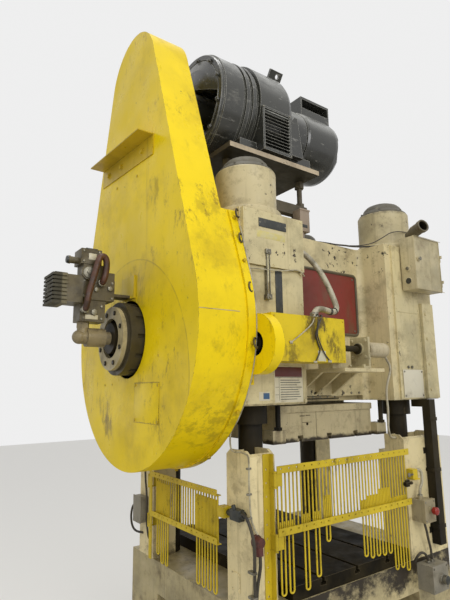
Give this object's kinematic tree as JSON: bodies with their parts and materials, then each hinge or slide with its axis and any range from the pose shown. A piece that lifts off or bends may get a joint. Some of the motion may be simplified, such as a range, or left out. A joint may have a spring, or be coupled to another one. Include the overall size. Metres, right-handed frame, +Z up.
{
  "type": "mechanical stamping press",
  "caption": "Straight-side mechanical stamping press with overhead motor, guarded flywheel drive, slide on crank and rods, and hairpin guard gates.",
  "frame": {"origin": "floor level in the middle of the whole outline, seen from above", "axes": "+X to the right seen from the front, -Y towards the operator, +Z up"},
  "size_m": [2.3452, 1.5748, 3.816],
  "materials": {
    "frame_paint": "worn satin paint",
    "guard_paint": "worn satin paint",
    "dark_iron": "oily, dark",
    "steel": "oily, machined",
    "motor_paint": "worn gloss paint",
    "plate_red": "satin",
    "bronze": "machined",
    "belt_rubber": "matt",
    "hose_brown": "matt",
    "conduit_grey": "matt",
    "encoder_white": "satin",
    "box_grey": "satin",
    "button_red": "gloss",
    "button_black": "gloss",
    "valve_paint": "oily paint"
  },
  "bodies": {
    "frame": {"bed": "frame_paint", "bolster": "dark_iron", "levelling_feet": "dark_iron", "upright_front_left": "frame_paint", "upright_front_right": "frame_paint", "rear_uprights": "frame_paint", "column_sleeves": "dark_iron", "tie_rods": "steel", "tie_rod_nuts": "steel", "crown": "frame_paint", "tie_rod_turrets": "frame_paint", "turret_caps": "dark_iron", "pier_covers": "frame_paint", "nameplate_frame": "dark_iron", "nameplate": "plate_red", "cam_shelf": "frame_paint", "drive_guard": "guard_paint", "guard_bolts": "guard_paint", "angle_bracket": "guard_paint", "rotary_union": "frame_paint", "valve_body": "valve_paint", "valve_silencer": "dark_iron", "valve_hose": "hose_brown", "v_belts": "belt_rubber", "motor_stand": "dark_iron", "motor_base_plate": "frame_paint", "motor_body": "motor_paint", "motor_louvre": "motor_paint", "motor_drum": "motor_paint", "cam_chain": "steel", "main_bearings": "bronze", "slide_gibs": "bronze", "cam_box_cover": "guard_paint", "disc_guard": "guard_paint", "cam_bearing_bracket": "frame_paint", "encoder": "encoder_white", "gate_posts": "guard_paint", "interlock_switches": "guard_paint", "stop_box": "frame_paint", "palm_box": "box_grey", "control_box": "frame_paint", "riser_pipe": "dark_iron", "conduit_hose": "conduit_grey"},
    "flywheel": {"flywheel": "dark_iron", "clutch_drum": "dark_iron", "clutch_ring": "frame_paint"},
    "motor_rotor": {"motor_sheave": "dark_iron"},
    "crank": {"crankshaft": "steel"},
    "rods": {"connecting_rods": "steel"},
    "slide": {"slide": "frame_paint", "adjusting_screws": "steel", "slide_guide_rods": "dark_iron"},
    "cam": {"cam_shaft": "steel"},
    "gate_front": {"front_gate": "guard_paint", "front_gate_hairpins": "guard_paint"},
    "gate_side": {"side_gate": "guard_paint", "side_gate_hairpins": "guard_paint"},
    "stop": {"stop_button": "button_red"},
    "palm": {"palm_button": "button_black"},
    "door": {"control_door": "frame_paint"}
  },
  "joints": [
    {"name": "flywheel_spin", "type": "hinge", "parent": "frame", "child": "flywheel", "pos_m": [-0.62235, 0.0485, 1.955], "axis": [1, 0, 0], "continuous": true},
    {"name": "motor_spin", "type": "hinge", "parent": "frame", "child": "motor_rotor", "pos_m": [-0.62235, 0.0685, 3.45], "axis": [1, 0, 0], "continuous": true},
    {"name": "crank_turn", "type": "hinge", "parent": "frame", "child": "crank", "pos_m": [0.36765, 0.0485, 1.955], "axis": [1, 0, 0], "continuous": true},
    {"name": "rod_swing", "type": "hinge", "parent": "crank", "child": "rods", "pos_m": [0.36765, 0.0485, 1.993], "axis": [1, 0, 0], "continuous": true},
    {"name": "slide_stroke", "type": "slide", "parent": "frame", "child": "slide", "axis": [0, 0, 1], "range_m": [-0.076, 0]},
    {"name": "cam_turn", "type": "hinge", "parent": "frame", "child": "cam", "pos_m": [-0.03235, -0.6485, 1.892], "axis": [1, 0, 0], "continuous": true},
    {"name": "front_gate_swing", "type": "hinge", "parent": "frame", "child": "gate_front", "pos_m": [-0.28635, -0.5915, 1.1], "axis": [0, 0, -1], "range_deg": [0, 110]},
    {"name": "side_gate_swing", "type": "hinge", "parent": "frame", "child": "gate_side", "pos_m": [-0.43735, 0.3705, 1.1], "axis": [0, 0, -1], "range_deg": [0, 100]},
    {"name": "stop_press", "type": "slide", "parent": "frame", "child": "stop", "axis": [0, 1, 0], "range_m": [0, 0.006]},
    {"name": "palm_press", "type": "slide", "parent": "frame", "child": "palm", "axis": [0, 1, 0], "range_m": [0, 0.006], "stiffness_N_per_m": 800},
    {"name": "door_swing", "type": "hinge", "parent": "frame", "child": "door", "pos_m": [1.12965, -0.6685, 2.45], "axis": [0, 0, 1], "range_deg": [0, 120]}
  ],
  "couplings": [
    {"joint": "motor_spin", "follows": "flywheel_spin", "ratio": 3.848},
    {"joint": "rod_swing", "follows": "crank_turn", "ratio": -1},
    {"joint": "cam_turn", "follows": "crank_turn", "ratio": 1}
  ]
}
